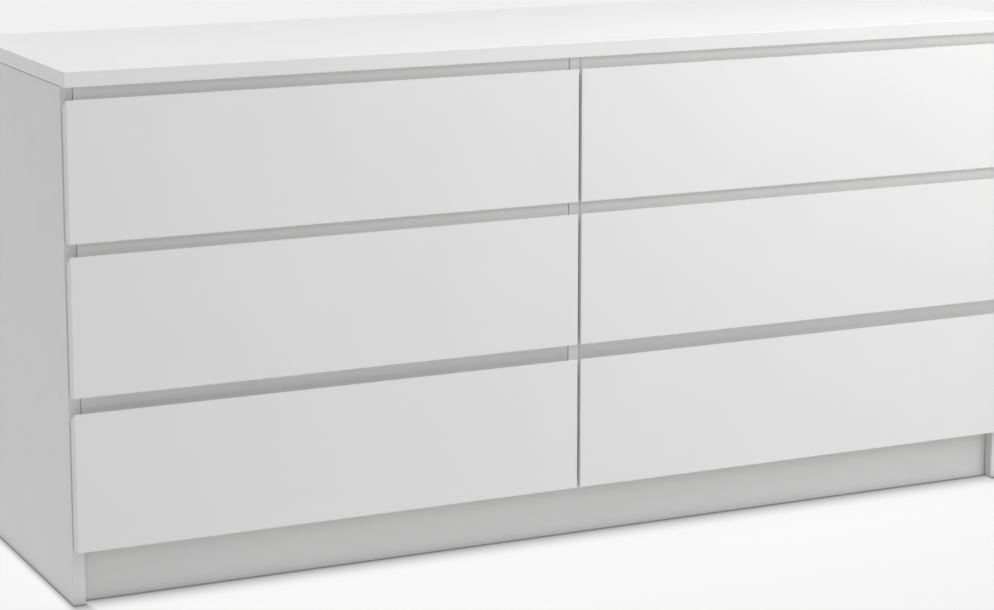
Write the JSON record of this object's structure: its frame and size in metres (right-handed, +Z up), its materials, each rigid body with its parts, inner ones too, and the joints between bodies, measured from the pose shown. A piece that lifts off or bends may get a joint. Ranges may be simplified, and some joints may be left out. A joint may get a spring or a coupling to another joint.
{
  "type": "dresser",
  "caption": "Wide, low white dresser with two columns of slab-fronted drawers on roller runners, a thick flat top and a recessed plinth.",
  "frame": {"origin": "on the floor, under the middle of the dresser", "axes": "+X to the right seen from the front, along the width; -Y out of the drawer fronts; +Z up"},
  "size_m": [1.6, 0.48, 0.77],
  "materials": {
    "white_foil": "smooth white foil on particle board, satin",
    "drawer_foil": "white foil on drawer boards, matt",
    "hardboard": "thin fibreboard, matt",
    "runner_enamel": "white enamelled sheet steel, semi-gloss"
  },
  "bodies": {
    "carcass": {"top_panel": "white_foil", "left_side_panel": "white_foil", "right_side_panel": "white_foil", "centre_partition": "white_foil", "plinth_board": "white_foil", "top_rail_left": "white_foil", "top_rail_right": "white_foil", "upper_rail_left": "white_foil", "upper_rail_right": "white_foil", "lower_rail_left": "white_foil", "lower_rail_right": "white_foil", "rear_rail_left": "white_foil", "back_panel_left": "hardboard", "rear_rail_right": "white_foil", "back_panel_right": "hardboard", "bottom_left_outer_runner": "runner_enamel", "bottom_left_inner_runner": "runner_enamel", "bottom_right_outer_runner": "runner_enamel", "bottom_right_inner_runner": "runner_enamel", "middle_left_outer_runner": "runner_enamel", "middle_left_inner_runner": "runner_enamel", "middle_right_outer_runner": "runner_enamel", "middle_right_inner_runner": "runner_enamel", "top_left_outer_runner": "runner_enamel", "top_left_inner_runner": "runner_enamel", "top_right_outer_runner": "runner_enamel", "top_right_inner_runner": "runner_enamel"},
    "bottom_left_drawer": {"bottom_left_drawer_front": "white_foil", "bottom_left_drawer_left_side": "drawer_foil", "bottom_left_drawer_right_side": "drawer_foil", "bottom_left_drawer_back": "drawer_foil", "bottom_left_drawer_bottom": "hardboard"},
    "bottom_right_drawer": {"bottom_right_drawer_front": "white_foil", "bottom_right_drawer_left_side": "drawer_foil", "bottom_right_drawer_right_side": "drawer_foil", "bottom_right_drawer_back": "drawer_foil", "bottom_right_drawer_bottom": "hardboard"},
    "middle_left_drawer": {"middle_left_drawer_front": "white_foil", "middle_left_drawer_left_side": "drawer_foil", "middle_left_drawer_right_side": "drawer_foil", "middle_left_drawer_back": "drawer_foil", "middle_left_drawer_bottom": "hardboard"},
    "middle_right_drawer": {"middle_right_drawer_front": "white_foil", "middle_right_drawer_left_side": "drawer_foil", "middle_right_drawer_right_side": "drawer_foil", "middle_right_drawer_back": "drawer_foil", "middle_right_drawer_bottom": "hardboard"},
    "top_left_drawer": {"top_left_drawer_front": "white_foil", "top_left_drawer_left_side": "drawer_foil", "top_left_drawer_right_side": "drawer_foil", "top_left_drawer_back": "drawer_foil", "top_left_drawer_bottom": "hardboard"},
    "top_right_drawer": {"top_right_drawer_front": "white_foil", "top_right_drawer_left_side": "drawer_foil", "top_right_drawer_right_side": "drawer_foil", "top_right_drawer_back": "drawer_foil", "top_right_drawer_bottom": "hardboard"}
  },
  "joints": [
    {"name": "bottom_left_drawer_slide", "type": "slide", "parent": "carcass", "child": "bottom_left_drawer", "axis": [0, -1, 0], "range_m": [0, 0.32]},
    {"name": "bottom_right_drawer_slide", "type": "slide", "parent": "carcass", "child": "bottom_right_drawer", "axis": [0, -1, 0], "range_m": [0, 0.32]},
    {"name": "middle_left_drawer_slide", "type": "slide", "parent": "carcass", "child": "middle_left_drawer", "axis": [0, -1, 0], "range_m": [0, 0.32]},
    {"name": "middle_right_drawer_slide", "type": "slide", "parent": "carcass", "child": "middle_right_drawer", "axis": [0, -1, 0], "range_m": [0, 0.32]},
    {"name": "top_left_drawer_slide", "type": "slide", "parent": "carcass", "child": "top_left_drawer", "axis": [0, -1, 0], "range_m": [0, 0.32]},
    {"name": "top_right_drawer_slide", "type": "slide", "parent": "carcass", "child": "top_right_drawer", "axis": [0, -1, 0], "range_m": [0, 0.32]}
  ]
}
